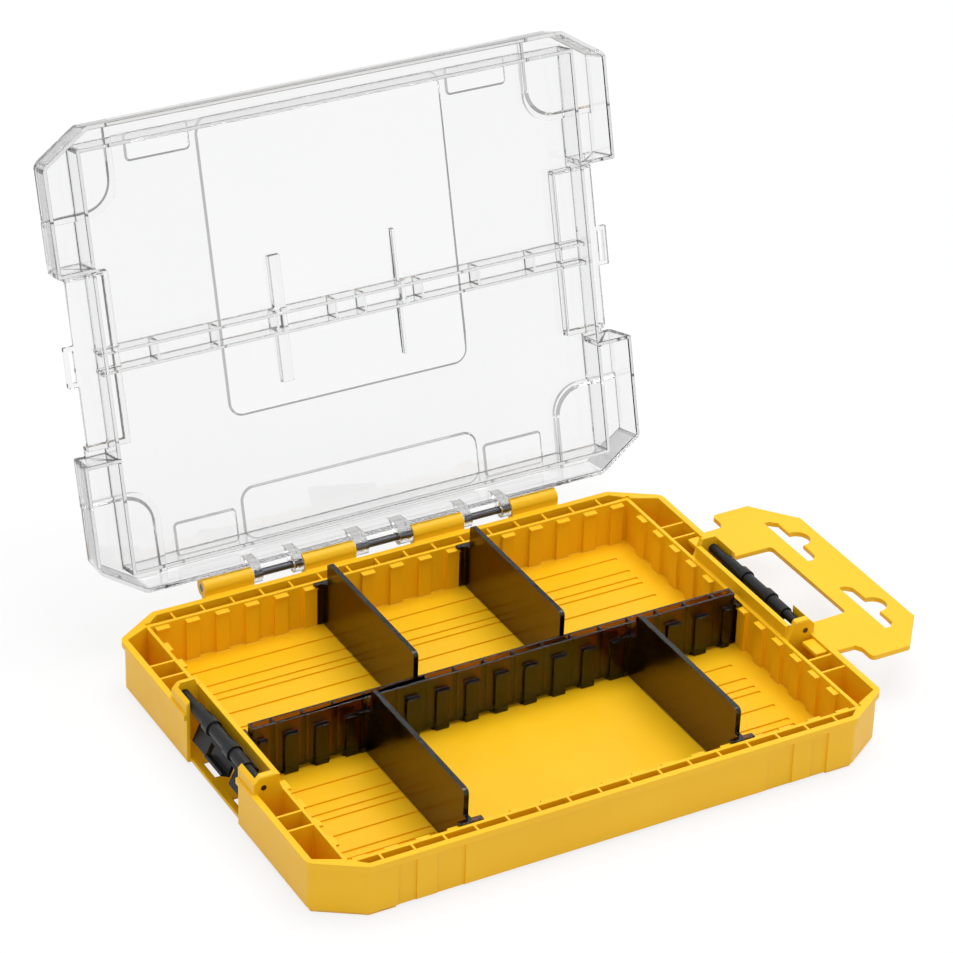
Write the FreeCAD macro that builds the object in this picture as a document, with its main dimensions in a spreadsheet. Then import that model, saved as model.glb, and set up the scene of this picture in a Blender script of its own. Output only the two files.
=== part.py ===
"""Parts case: a tray with a clear hinged lid, side latches, a hang tab and lift-out dividers.

Frame in millimetres: the origin is the centre of the tray's underside, X runs along the hinge,
Y points to the hinge at the back and Z is up. The case is modelled open, latches hanging.
"""
import FreeCAD, Part
import collections
import os
import re
import Sketcher

doc = FreeCAD.newDocument("parts_case")
sheet = doc.addObject("Spreadsheet::Sheet", "Sizes")

DIMENSIONS = [
    # Outline shared by the tray and the lid
    ("case_width", 236.0, "across the rim, along the hinge"),
    ("case_depth", 180.0, "across the rim, front to back"),
    ("corner_along_hinge", 18.4, "length of a cut corner along X"),
    ("corner_along_side", 12.0, "length of a cut corner along Y"),
    ("corner_round", 4.5, "radius where a cut corner meets a wall"),
    ("rim_height", 22.0, "top of the tray's rim above the surface it stands on"),
    ("overrun", 1.0, "how far a cut runs past a surface"),
    # Tray walls and floor
    ("rim_band", 2.6, "height of the band round the rim"),
    ("rim_overhang", 1.0, "how far the band stands out from the wall"),
    ("tray_wall", 1.6, "outer wall"),
    ("foot_round", 0.9, "rounding along the bottom of the outer wall"),
    ("stand_off", 1.0, "height of the stacking feet"),
    ("foot_inset", 1.0, "corner foot inside the outer wall"),
    ("floor_thickness", 1.5, "tray floor"),
    ("side_band", 14.0, "rim to compartment, at the latch sides"),
    ("end_band", 8.0, "rim to compartment, front and back"),
    ("inner_wall", 1.5, "wall round the compartments"),
    ("inner_wall_drop", 0.8, "inner wall's top below the rim"),
    ("cell_rib", 1.0, "ribs between the inner and the outer wall"),
    # Shallow recesses in the front and back walls, counted inward from the cut corner
    ("lug_depth", 0.8, "depth of the recesses beside the wall lugs"),
    ("corner_block", 11.6, "flush wall beside the corner"),
    ("lug_gap", 7.0, "recess between the corner block and the lug"),
    ("lug_width", 8.0, "lug"),
    ("lug_gap_wide", 11.0, "recess between the lug and the middle of the wall"),
    # Divider slots
    ("pads_across", 17, "pads along the front and back walls"),
    ("pads_deep", 12, "pads along the side walls"),
    ("pad_margin_across", 4.8, "side wall to the middle of the first pad"),
    ("pad_margin_deep", 13.8, "front wall to the middle of the first pad"),
    ("pad_width", 5.6, "pad between two slots"),
    ("pad_proud", 1.4, "pad out from the wall"),
    ("pad_drop", 1.0, "pad's top below the inner wall's top"),
    ("ledge_reach", 0.8, "lip at the top of a pad, out from the pad"),
    ("ledge_height", 1.0, "lip at the top of a pad"),
    # Grooves along the compartment floors
    ("groove_width", 1.4, "groove"),
    ("groove_depth", 0.6, "groove below the floor"),
    ("groove_step", 10.0, "from one groove to the next"),
    ("groove_pair", 4.0, "from a groove to the extra one beside it"),
    ("groove_rear_first", 21.0, "middle of the case to the first rear groove"),
    ("groove_front_first", 15.0, "middle of the case to the first front groove"),
    ("groove_margin", 10.0, "end of a groove to the side wall"),
    ("groove_front_length", 37.0, "grooves at the front, from that end"),
    # Hinge
    ("hinge_reach", 4.0, "hinge axis behind the rim"),
    ("hinge_rise", 2.0, "hinge axis above the rim"),
    ("knuckle_radius", 3.6, "tray knuckles"),
    ("knuckle_root", 10.0, "foot of a knuckle's bracket below the axis"),
    ("knuckle_first", 12.6, "centre to the inner pair of knuckles"),
    ("knuckle_inner_width", 22.3, "inner knuckles"),
    ("knuckle_gap", 21.5, "between an inner and an outer knuckle"),
    ("knuckle_outer_width", 20.8, "outer knuckles"),
    ("lug_radius", 3.4, "lid's hinge lugs"),
    ("lug_heel", 0.5, "foot of a hinge lug's arm below the axis"),
    ("lug_root", 8.0, "head of a hinge lug's arm above the axis"),
    ("pin_radius", 1.5, "hinge pin"),
    ("pin_play", 0.05, "running fit round a pin"),
    ("pin_window", 13.8, "length of pin left bare between two hinge lugs"),
    ("hinge_play", 0.3, "side play between knuckles and lugs"),
    ("open_angle", 104.8, "lid thrown back, in degrees"),
    # Latches
    ("pivot_inset", 5.0, "latch pivot inside the rim"),
    ("pivot_rise", 2.0, "latch pivot above the rim"),
    ("latch_pin_radius", 1.1, "latch pin"),
    ("bar_radius", 2.5, "latch bar"),
    ("journal_radius", 1.9, "latch's slim ends"),
    ("grip_half", 21.0, "half the length of a latch's grip"),
    ("journal_half", 31.7, "half the length over a latch's slim ends"),
    ("latch_play", 0.3, "side play of a latch between its ears"),
    ("grip_play", 0.5, "grip to the ends of the outer wall"),
    ("latch_open_angle", 155.0, "latch hanging open, in degrees"),
    ("latch_plate", 1.6, "latch plate"),
    ("latch_heel", 2.0, "latch plate's foot above and below the pivot"),
    ("grip_bulge", 1.2, "grip out from the latch plate"),
    ("grip_height", 13.0, "grip's end above the pivot, latch closed"),
    ("grip_step", 7.0, "where the plate swells into the grip"),
    ("grip_step_rise", 2.0, "height of that swell"),
    ("tongue_half", 7.0, "half the width of the hook tongue"),
    ("tongue_slot_half", 9.5, "half the gap between the two grips"),
    ("tongue_play", 0.3, "tongue beside the lid's tab"),
    ("nib_reach", 2.6, "hook over the lid's tab"),
    ("nib_height", 1.3, "hook's thickness"),
    ("nib_play", 0.9, "hook above the lid's tab"),
    # Latch recess in the tray
    ("latch_room", 5.4, "pivot to the plate behind it"),
    ("recess_plate", 2.1, "plate behind the latch"),
    ("recess_plate_rise", 4.5, "that plate above the rim"),
    ("ear_thickness", 2.3, "ears that hold the latch pin"),
    ("ear_rise", 5.0, "ear's top above the pivot"),
    ("ear_slope", 3.1, "run of the ear's slope at its inner side"),
    ("ear_nose", 3.0, "run and fall of the ear's slope at its outer side"),
    ("ear_round", 1.2, "rounding of the ear's top"),
    ("window_inset", 2.0, "recess plate to the windows in the recess floor"),
    ("window_width", 3.0, "those windows"),
    ("window_start", 7.0, "centre to a window's near end"),
    ("window_length", 11.0, "window's length"),
    # Lid, closed
    ("lid_gap", 0.2, "lid's rim above the tray's rim"),
    ("lid_rise", 15.0, "lid's top above the tray's rim"),
    ("lid_lean", 1.5, "lid's wall leans in by this much"),
    ("lid_round", 1.6, "rounding of the lid's top edge"),
    ("lid_wall", 1.6, "lid wall"),
    ("lid_top", 2.0, "lid top"),
    ("lid_rib", 1.5, "rib inside the lid, over the inner wall"),
    ("lid_rib_shift", 1.4, "that rib inside the compartment's face"),
    ("lid_rib_gap", 0.6, "that rib above the rim"),
    ("panel_half_width", 51.7, "large sunk panel, half its width"),
    ("panel_front_margin", 8.5, "large sunk panel to the lid's front"),
    ("panel_back_margin", 55.0, "large sunk panel to the lid's back"),
    ("panel_depth", 1.0, "how far the panels are sunk"),
    ("panel_round", 6.0, "corner radius of the panels"),
    ("rear_panel_front_margin", 27.0, "rear panel's front edge to the lid's back"),
    ("rear_panel_back_margin", 4.0, "rear panel's back edge to the lid's back"),
    ("small_panel_gap", 2.3, "large panel to a small one"),
    ("small_panel_width", 26.5, "small panels"),
    ("small_panel_length", 10.5, "small panels at the front"),
    ("small_panel_rear_length", 15.0, "small panels at the back"),
    ("small_panel_rear_margin", 5.0, "small panels to the lid's back"),
    ("small_panel_round", 2.0, "corner radius of the small panels"),
    ("corner_pocket_length", 11.9, "corner pocket along the front, past the cut corner"),
    ("corner_pocket_depth", 23.0, "corner pocket along the side, past the cut corner"),
    ("corner_pocket_sink", 1.5, "how far the corner pockets are sunk"),
    ("corner_pocket_round", 12.0, "inner radius of the corner pockets"),
    ("stack_play", 0.7, "feet of one case inside the panels of the case below"),
    ("shelf_run", 16.0, "sunk shelf behind the latch, along X"),
    ("shelf_half", 32.0, "half the length of that shelf"),
    ("shelf_sink", 3.5, "shelf below the lid's top"),
    ("shelf_thickness", 2.0, "shelf"),
    ("shelf_edge", 1.0, "shelf's edge inside the latch pivot"),
    ("ear_clear", 1.7, "lid round the ears"),
    ("hook_tab_half", 8.0, "half the width of the tab that the latch hooks"),
    ("hook_tab_reach", 3.3, "tab beyond the latch pivot"),
    ("hook_slot_margin", 1.8, "tab left round its slot"),
    ("hook_slot_width", 2.0, "slot in the tab"),
    ("hook_slot_set_in", 0.5, "slot from the shelf's edge"),
    ("ladder_play", 1.0, "double rib beside the long divider"),
    ("ladder_rib", 1.2, "the two ribs of the double rib"),
    ("ladder_clear", 0.5, "double rib above the long divider"),
    ("ladder_rung", 1.0, "cross ribs of the double rib"),
    ("rung_clear", 2.0, "cross ribs above the long divider"),
    ("rung_pairs", 4, "cross ribs on each side of the middle"),
    ("fin_place", 25.5, "centre to a fin"),
    ("fin_half", 25.0, "half the length of a fin"),
    ("fin_thickness", 2.0, "fin"),
    ("fin_clear", 0.6, "fin above the cross dividers"),
    # Dividers
    ("seat_gap", 0.2, "divider's end to what it stands against"),
    ("slot_play", 0.3, "flange in its slot, each side"),
    ("divider_thickness", 2.0, "cross divider"),
    ("divider_height", 29.5, "cross divider above the floor"),
    ("divider_neck", 4.4, "upper part of a cross divider set in at each end"),
    ("divider_round", 2.0, "upper corners of a cross divider"),
    ("flange_thickness", 1.2, "flange that slides in a slot"),
    ("head_overlap", 1.4, "head past each side of the slot"),
    ("head_depth", 2.4, "head along the divider"),
    ("head_height", 1.3, "head that rests on the pads"),
    ("front_divider_slots", 4.5, "front cross dividers, slots from the middle"),
    ("rear_divider_slots", 2.5, "rear cross dividers, slots from the middle"),
    ("long_divider_thickness", 4.4, "long divider over its two walls"),
    ("long_divider_wall", 1.0, "each of its walls, and its cross ribs"),
    ("long_divider_height", 23.0, "long divider above the floor"),
    ("long_divider_neck", 2.0, "upper part of the long divider set in at each end"),
    ("long_divider_floor", 2.6, "closed bottom of the long divider"),
    ("long_pad_proud", 1.2, "pads on the long divider"),
    ("end_pad_width", 3.6, "pads at the ends of the long divider"),
    ("notch_width", 5.2, "notches in the bottom of the long divider"),
    ("notch_height", 1.4, "those notches"),
    # Hang tab
    ("tab_drop", 3.1, "tab's underside below the rim"),
    ("tab_thickness", 2.0, "tab"),
    ("tab_gap", 0.15, "tab's shoulder to the rim"),
    ("tab_reach", 41.0, "tab out from the rim"),
    ("tab_window_half", 26.5, "half the width of the opening for the latch"),
    ("tab_window_depth", 19.0, "that opening out from the rim"),
    ("tab_arm_half", 47.5, "centre to the outer side of an arm"),
    ("tab_arm_length", 9.0, "arm out from the rim"),
    ("tab_step", 1.5, "slope from the arm to the shoulder, along X"),
    ("tab_step_out", 2.5, "the same slope, along Y"),
    ("tab_shoulder", 6.8, "shoulder beyond that slope"),
    ("tab_flank", 27.5, "straight side ends, out from the rim"),
    ("tab_nose_half", 40.0, "half the width of the outer edge"),
    ("tab_round", 2.0, "corners of the tab"),
    ("slot_place", 26.7, "centre to a hang slot"),
    ("slot_length", 31.8, "hang slot, the standard length"),
    ("slot_width", 4.8, "hang slot at its ends"),
    ("slot_inset", 26.0, "hang slot's straight edge, out from the rim"),
    ("slot_end_cut", 2.4, "slanted corner at each end of the slot"),
    ("slot_hump_radius", 5.1, "hump in the middle of the slot"),
    ("slot_hump_shift", 5.4, "middle of the hump from the straight edge"),
    ("tongue_start", 36.0, "centre to a tongue that plugs into the wall"),
    ("tongue_width", 10.0, "that tongue"),
    ("tongue_length", 7.5, "tongue in from the rim"),
    ("tongue_fit", 0.15, "tongue in its slot"),
    ("catch_height", 0.6, "catch under the tongue"),
    ("catch_length", 1.4, "catch along the tongue"),
    ("side_rib_clear", 2.0, "tongue to the first rib of the side cells"),
    ("side_rib_step", 9.0, "first to second rib of the side cells"),
]

for row_number, (alias, value, meaning) in enumerate(DIMENSIONS, start=1):
    sheet.set(f"A{row_number}", meaning)
    sheet.set(f"B{row_number}", str(value))
    sheet.setAlias(f"B{row_number}", alias)
doc.recompute()
ALIASES = {alias for alias, value, meaning in DIMENSIONS}


def size(expression):
    """The value of an expression in the sheet's names."""
    return float(sheet.evalExpression(expression))


def linked(expression):
    """The same expression for another object, with each name pointing at its cell."""
    def cell(word):
        return f"Sizes.{word.group()}" if word.group() in ALIASES else word.group()

    return re.sub(r"[a-z_]\w*", cell, expression)


# Places that several pieces share, as expressions

HALF_X = "(case_width / 2)"
HALF_Y = "(case_depth / 2)"
WALL_END = f"({HALF_X} - corner_along_hinge)"
SIDE_END = f"({HALF_Y} - corner_along_side)"
BAY_X = f"({HALF_X} - side_band)"
BAY_Y = f"({HALF_Y} - end_band)"
FLOOR = "(stand_off + floor_thickness)"
INNER_TOP = "(rim_height - inner_wall_drop)"
PAD_TOP = f"({INNER_TOP} - pad_drop)"
HEAD_TOP = f"({PAD_TOP} + head_height)"
PITCH = f"((2 * {BAY_X} - 2 * pad_margin_across) / (pads_across - 1))"
PITCH_DEEP = f"((2 * {BAY_Y} - 2 * pad_margin_deep) / (pads_deep - 1))"
SLOT = f"({PITCH} - pad_width)"
SLOT_DEEP = f"({PITCH_DEEP} - pad_width)"
CELL_X = f"({HALF_X} - rim_overhang - tray_wall)"
CELL_Y = f"({HALF_Y} - rim_overhang - tray_wall)"
HINGE_Y = f"({HALF_Y} + hinge_reach)"
HINGE_Z = "(rim_height + hinge_rise)"
PIVOT_X = f"({HALF_X} - pivot_inset)"
PIVOT_Z = "(rim_height + pivot_rise)"
EAR_IN = "(journal_half + latch_play)"
EAR_OUT = f"({EAR_IN} + ear_thickness)"
LID_RIM = "(rim_height + lid_gap)"
LID_TOP = "(rim_height + lid_rise)"
LID_INNER = f"({LID_TOP} - lid_top)"
SHELF_TOP = f"({LID_TOP} - shelf_sink)"
TAB_BOTTOM = "(rim_height - tab_drop)"
TAB_TOP = f"({TAB_BOTTOM} + tab_thickness)"
INNER_KNUCKLE = ("knuckle_first", "(knuckle_first + knuckle_inner_width)")
OUTER_KNUCKLE = (
    f"({INNER_KNUCKLE[1]} + knuckle_gap)",
    f"({INNER_KNUCKLE[1]} + knuckle_gap + knuckle_outer_width)",
)
PANEL_FRONT = f"({HALF_Y} - panel_front_margin)"
PANEL_BACK = f"({HALF_Y} - panel_back_margin)"
REAR_GROOVES, FRONT_GROOVES = 6, 6
REAR_PAIR = "(groove_rear_first + 3 * groove_step + groove_pair)"
FRONT_PAIRS = [
    "(groove_front_first + 2 * groove_step - groove_pair)",
    "(groove_front_first + 4 * groove_step + groove_pair)",
]


# Outlines, as lists of corners in the sheet's names; a corner may carry a radius

Disc = collections.namedtuple("Disc", "x y radius")


def rectangle(x_low, y_low, x_high, y_high, *rounding):
    """Corners of a rectangle."""
    corners = [(x_low, y_low), (x_high, y_low), (x_high, y_high), (x_low, y_high)]
    return [(*corner, *rounding) for corner in corners]


def centred(half_x, half_y, *rounding):
    """Corners of a rectangle round the middle of the case."""
    return rectangle(f"-({half_x})", f"-({half_y})", half_x, half_y, *rounding)


def cut_corner(inset):
    """The two points of the case's cut corner at +X +Y, moved in by inset."""
    slant = "hypot(corner_along_hinge; corner_along_side)"
    cut_x = f"({inset}) * (1 + (corner_along_hinge - {slant}) / corner_along_side)"
    cut_y = f"({inset}) * (1 + (corner_along_side - {slant}) / corner_along_hinge)"
    back_end = (f"({WALL_END} - ({inset}) + {cut_x})", f"({HALF_Y} - ({inset}))")
    side_end = (f"({HALF_X} - ({inset}))", f"({SIDE_END} - ({inset}) + {cut_y})")
    return back_end, side_end


def turned(outline, sign_x, sign_y):
    """The outline mirrored to another quarter of the case."""
    return [(f"{sign_x} * ({x})", f"{sign_y} * ({y})", *rounding) for x, y, *rounding in outline]


def both_sides(outline):
    """The outline at the right and at the left."""
    return [turned(outline, 1, 1), turned(outline, -1, 1)]


def both_ends(outline):
    """The outline at the back and at the front."""
    return [turned(outline, 1, 1), turned(outline, 1, -1)]


def four_quarters(outline):
    """The outline in all four quarters."""
    return both_sides(outline) + [turned(outline, 1, -1), turned(outline, -1, -1)]


def octagon(inset):
    """The case's outline moved in by inset on every side."""
    back_end, side_end = cut_corner(inset)
    right = [side_end, back_end]
    back = right + turned(right[::-1], -1, 1)
    return back + turned(back[::-1], 1, -1)


# Bodies, sketches and features


def new_body(label):
    """An empty body named after its piece."""
    body = doc.addObject("PartDesign::Body", label)
    body.Label = label
    return body


def origin_feature(body, role):
    """One of the body's own origin planes or axes."""
    return next(feature for feature in body.Origin.OriginFeatures if feature.Role == role)


def bind(sketch, constraint, expression):
    """Add a constraint whose value follows the sheet."""
    number = sketch.addConstraint(constraint)
    sketch.setExpression(f"Constraints[{number}]", linked(expression))


def pin_down(sketch, edge, end, x, y):
    """Tie one point of an edge to the sketch's origin by two bound distances."""
    for kind, axis, expression in (("DistanceX", -2, x), ("DistanceY", -1, y)):
        if abs(size(expression)) < FreeCAD.Base.Precision.confusion():
            sketch.addConstraint(Sketcher.Constraint("PointOnObject", edge, end, axis))
        else:
            bind(sketch, Sketcher.Constraint(kind, -1, 1, edge, end, size(expression)), expression)


def spot(point):
    """A point of the sheet's expressions as a vector."""
    return FreeCAD.Vector(size(point[0]), size(point[1]), 0)


def corner_ends(outline, index):
    """Where the edges end at a corner: in one point, or in two if the corner is rounded."""
    x, y, *rounding = outline[index]
    if not rounding:
        return [(x, y)]
    ends = []
    for neighbour in (outline[index - 1], outline[(index + 1) % len(outline)]):
        way = (spot(neighbour) - spot((x, y))).normalize()
        ends.append([f"{at} + {round(step)} * {rounding[0]}" for at, step in ((x, way.x), (y, way.y))])
    return ends


def join_with_arc(sketch, before, after, radius):
    """Join two lines at a right angle with an arc."""
    leave = sketch.Geometry[before]
    enter = sketch.Geometry[after]
    way = leave.EndPoint - leave.StartPoint
    turn = way.cross(enter.EndPoint - enter.StartPoint).z
    centre = enter.StartPoint - way.normalize() * size(radius)
    circle = Part.Circle(centre, FreeCAD.Vector(0, 0, 1), size(radius))
    ends = (leave.EndPoint, enter.StartPoint) if turn > 0 else (enter.StartPoint, leave.EndPoint)
    arc = sketch.addGeometry(Part.ArcOfCircle(circle, *[circle.parameter(end) for end in ends]), False)
    first, last = (1, 2) if turn > 0 else (2, 1)
    sketch.addConstraint(Sketcher.Constraint("Coincident", before, 2, arc, first))
    sketch.addConstraint(Sketcher.Constraint("Coincident", after, 1, arc, last))
    bind(sketch, Sketcher.Constraint("Radius", arc, size(radius)), radius)


def draw_outline(sketch, outline):
    """Draw a closed outline of lines, with an arc at each corner that carries a radius."""
    corners = [corner_ends(outline, index) for index in range(len(outline))]
    lines = []
    for corner, following in zip(corners, corners[1:] + corners[:1]):
        line = Part.LineSegment(spot(corner[-1]), spot(following[0]))
        lines.append(sketch.addGeometry(line, False))
    for index, corner in enumerate(corners):
        before, after = lines[index - 1], lines[index]
        pin_down(sketch, after, 1, *corner[-1])
        if len(corner) == 1:
            sketch.addConstraint(Sketcher.Constraint("Coincident", before, 2, after, 1))
        else:
            pin_down(sketch, before, 2, *corner[0])
            join_with_arc(sketch, before, after, outline[index][2])


def draw_disc(sketch, disc):
    """Draw a circle."""
    circle = Part.Circle(spot(disc), FreeCAD.Vector(0, 0, 1), size(disc.radius))
    edge = sketch.addGeometry(circle, False)
    pin_down(sketch, edge, 3, disc.x, disc.y)
    bind(sketch, Sketcher.Constraint("Radius", edge, size(disc.radius)), disc.radius)


def new_sketch(body, name, plane, offset, outlines):
    """A sketch of outlines on an origin plane, moved along that plane's normal."""
    sketch = body.newObject("Sketcher::SketchObject", f"{body.Label}_{name}_sketch")
    sketch.AttachmentSupport = [(origin_feature(body, plane), "")]
    sketch.MapMode = "FlatFace"
    sketch.setExpression("AttachmentOffset.Base.z", linked(offset))
    for outline in outlines:
        if isinstance(outline, Disc):
            draw_disc(sketch, outline)
        else:
            draw_outline(sketch, outline)
    return sketch


def extruded(body, kind, name, sketch, length, side_type="One side"):
    """A Pad or a Pocket of a sketch."""
    feature = body.newObject(f"PartDesign::{kind}", f"{body.Label}_{name}")
    feature.Profile = sketch
    feature.SideType = side_type
    feature.setExpression("Length", linked(length))
    return feature


def block(body, name, outlines, bottom, top):
    """Add material between two heights."""
    sketch = new_sketch(body, name, "XY_Plane", bottom, outlines)
    return extruded(body, "Pad", name, sketch, f"({top}) - ({bottom})")


def hollow(body, name, outlines, bottom, top):
    """Take material away between two heights."""
    sketch = new_sketch(body, name, "XY_Plane", top, outlines)
    return extruded(body, "Pocket", name, sketch, f"({top}) - ({bottom})")


def bar_along_x(body, name, outlines, start, end):
    """Add material between two places on X; the outlines are in Y and Z."""
    sketch = new_sketch(body, name, "YZ_Plane", start, outlines)
    return extruded(body, "Pad", name, sketch, f"({end}) - ({start})")


def across(body, kind, name, plane, outlines, half):
    """Pad or pocket to both sides of an origin plane alike."""
    sketch = new_sketch(body, name, plane, "0", outlines)
    return extruded(body, kind, name, sketch, f"2 * ({half})", "Symmetric")


def tapered(feature, lean, height):
    """Lean the walls of a pad or pocket by a length over its height; inward is negative."""
    feature.setExpression("TaperAngle", linked(f"atan(({lean}) / ({height}))"))


def row(body, name, originals, axis, length, copies):
    """Repeat features along an axis."""
    pattern = body.newObject("PartDesign::LinearPattern", f"{body.Label}_{name}")
    pattern.Originals = originals
    pattern.Direction = (origin_feature(body, axis), [""])
    pattern.setExpression("Length", linked(length))
    pattern.setExpression("Occurrences", linked(copies))
    body.Tip = pattern


def mirrored(body, name, originals):
    """Repeat features at the other side of the case."""
    mirror = body.newObject("PartDesign::Mirrored", f"{body.Label}_{name}")
    mirror.Originals = originals
    mirror.MirrorPlane = (origin_feature(body, "YZ_Plane"), [""])
    body.Tip = mirror


def rounded(body, name, radius, picks):
    """Fillet the edges of the body so far that a test picks by their bounding box."""
    doc.recompute()
    base = body.Tip
    edges = [f"Edge{n}" for n, edge in enumerate(base.Shape.Edges, start=1) if picks(edge.BoundBox)]
    fillet = body.newObject("PartDesign::Fillet", f"{body.Label}_{name}")
    fillet.Base = (base, edges)
    fillet.setExpression("Radius", linked(radius))


def spans(low, high):
    """A test for edges that run from one height to another."""
    def picks(box):
        return near(box.ZMin, size(low)) and near(box.ZMax, size(high))

    return picks


def near(one, other):
    """Whether two lengths are the same but for rounding."""
    return abs(one - other) < size("pin_play")


# Tray: one moulding, with its hinge knuckles and latch ears


def tray_shell(tray):
    """Outer wall with its rim band, cells, compartment and stacking feet."""
    band_bottom = "(rim_height - rim_band)"
    block(tray, "outer_wall", [octagon("rim_overhang")], "stand_off", band_bottom)
    rounded(tray, "wall_corners", "corner_round", spans("stand_off", band_bottom))
    rounded(tray, "wall_foot", "foot_round", spans("stand_off", "stand_off"))
    block(tray, "rim", [octagon("0")], band_bottom, "rim_height")
    rounded(tray, "rim_corners", "corner_round", spans(band_bottom, "rim_height"))
    wall_x, wall_y = f"({BAY_X} + inner_wall)", f"({BAY_Y} + inner_wall)"
    back_end, side_end = cut_corner("rim_overhang + tray_wall")
    steep = "(corner_along_side / corner_along_hinge)"
    tip_y = f"({side_end[1]} + ({side_end[0]} - {wall_x}) * {steep} - inner_wall)"
    tip_x = f"({back_end[0]} + ({back_end[1]} - {wall_y}) / {steep} - inner_wall)"
    right = [(wall_x, tip_y), side_end]
    back = [(tip_x, wall_y), back_end]
    cells = both_sides(right + turned(right[::-1], 1, -1)) + both_ends(back + turned(back[::-1], -1, 1))
    hollow(tray, "cells", cells, FLOOR, "rim_height")
    hollow(tray, "bay", [centred(BAY_X, BAY_Y)], FLOOR, "rim_height")
    hollow(tray, "inner_wall_top", [centred(wall_x, wall_y)], INNER_TOP, "rim_height")
    back_end, side_end = cut_corner("rim_overhang + foot_inset")
    foot_x = f"({WALL_END} - corner_pocket_length + stack_play)"
    foot_y = f"({SIDE_END} - corner_pocket_depth + stack_play)"
    foot = [(foot_x, foot_y), (side_end[0], foot_y), side_end, back_end, (foot_x, back_end[1])]
    pad_x = "(panel_half_width - stack_play)"
    pad = rectangle(f"-{pad_x}", f"-({PANEL_FRONT} - stack_play)", pad_x, f"({PANEL_BACK} - stack_play)")
    block(tray, "feet", four_quarters(foot) + [pad], "0", "stand_off")


def tray_lug_gaps(tray):
    """Shallow recesses between the lugs of the front and back walls."""
    outer_gap_end = f"({WALL_END} - corner_block)"
    outer_gap_start = f"({outer_gap_end} - lug_gap)"
    inner_gap_end = f"({outer_gap_start} - lug_width)"
    inner_gap_start = f"({inner_gap_end} - lug_gap_wide)"
    gap_back = f"({HALF_Y} - rim_overhang - lug_depth)"
    outlines = []
    for start, end in ((outer_gap_start, outer_gap_end), (inner_gap_start, inner_gap_end)):
        outlines += four_quarters(rectangle(start, gap_back, end, HALF_Y))
    hollow(tray, "lug_gaps", outlines, "stand_off", "rim_height - rim_band")


def tray_cell_ribs(tray):
    """Cross ribs between the inner and the outer wall."""
    outlines = []
    for extra in ("0", "side_rib_step"):
        start = f"(tongue_start + tongue_width + side_rib_clear + {extra})"
        rib = rectangle(f"({BAY_X} + inner_wall)", start, CELL_X, f"({start} + cell_rib)")
        outlines += four_quarters(rib)
    block(tray, "side_cell_ribs", outlines, FLOOR, INNER_TOP)
    first = f"(-{BAY_X} + pad_margin_across + {PITCH} / 2)"
    rib_start, rib_end = f"({first} - cell_rib / 2)", f"({first} + cell_rib / 2)"
    rib = rectangle(rib_start, f"({BAY_Y} + inner_wall)", rib_end, CELL_Y)
    ribs = block(tray, "end_cell_rib", both_ends(rib), FLOOR, INNER_TOP)
    row(tray, "end_cell_ribs", [ribs], "X_Axis", f"{PITCH} * (pads_across - 2)", "pads_across - 1")


def tray_slots(tray):
    """Pads along the four inner walls, with the lip at each pad's top; the gaps are the slots."""
    for name, axis, margin, pitch, count, along, wall in (
        ("end", "X_Axis", "pad_margin_across", PITCH, "pads_across", BAY_X, BAY_Y),
        ("side", "Y_Axis", "pad_margin_deep", PITCH_DEEP, "pads_deep", BAY_Y, BAY_X),
    ):
        start = f"(-{along} + {margin} - pad_width / 2)"
        end = f"({start} + pad_width)"
        originals = []
        for part, reach, bottom in (
            ("pad", "pad_proud", FLOOR),
            ("lip", "(pad_proud + ledge_reach)", f"({PAD_TOP} - ledge_height)"),
        ):
            inner, root = f"({wall} - {reach})", f"({wall} + inner_wall / 2)"
            if name == "end":
                outlines = both_ends(rectangle(start, inner, end, root))
            else:
                outlines = both_sides(rectangle(inner, start, root, end))
            originals.append(block(tray, f"{name}_{part}", outlines, bottom, PAD_TOP))
        row(tray, f"{name}_pads", originals, axis, f"{pitch} * ({count} - 1)", count)


def tray_grooves(tray):
    """Grooves along the compartment floors, with a smooth field at the front middle."""
    end = f"({BAY_X} - groove_margin)"
    start = f"({end} - groove_front_length)"
    outlines = []
    for place in [f"(groove_rear_first + {n} * groove_step)" for n in range(REAR_GROOVES)] + [REAR_PAIR]:
        outlines.append(centred_strip(f"-{end}", end, place))
    for place in [f"(groove_front_first + {n} * groove_step)" for n in range(FRONT_GROOVES)] + FRONT_PAIRS:
        outlines += both_sides(centred_strip(start, end, f"-{place}"))
    hollow(tray, "grooves", outlines, f"{FLOOR} - groove_depth", FLOOR)


def centred_strip(x_low, x_high, y):
    """Corners of a groove round its middle line."""
    return rectangle(x_low, f"({y} - groove_width / 2)", x_high, f"({y} + groove_width / 2)")


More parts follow.
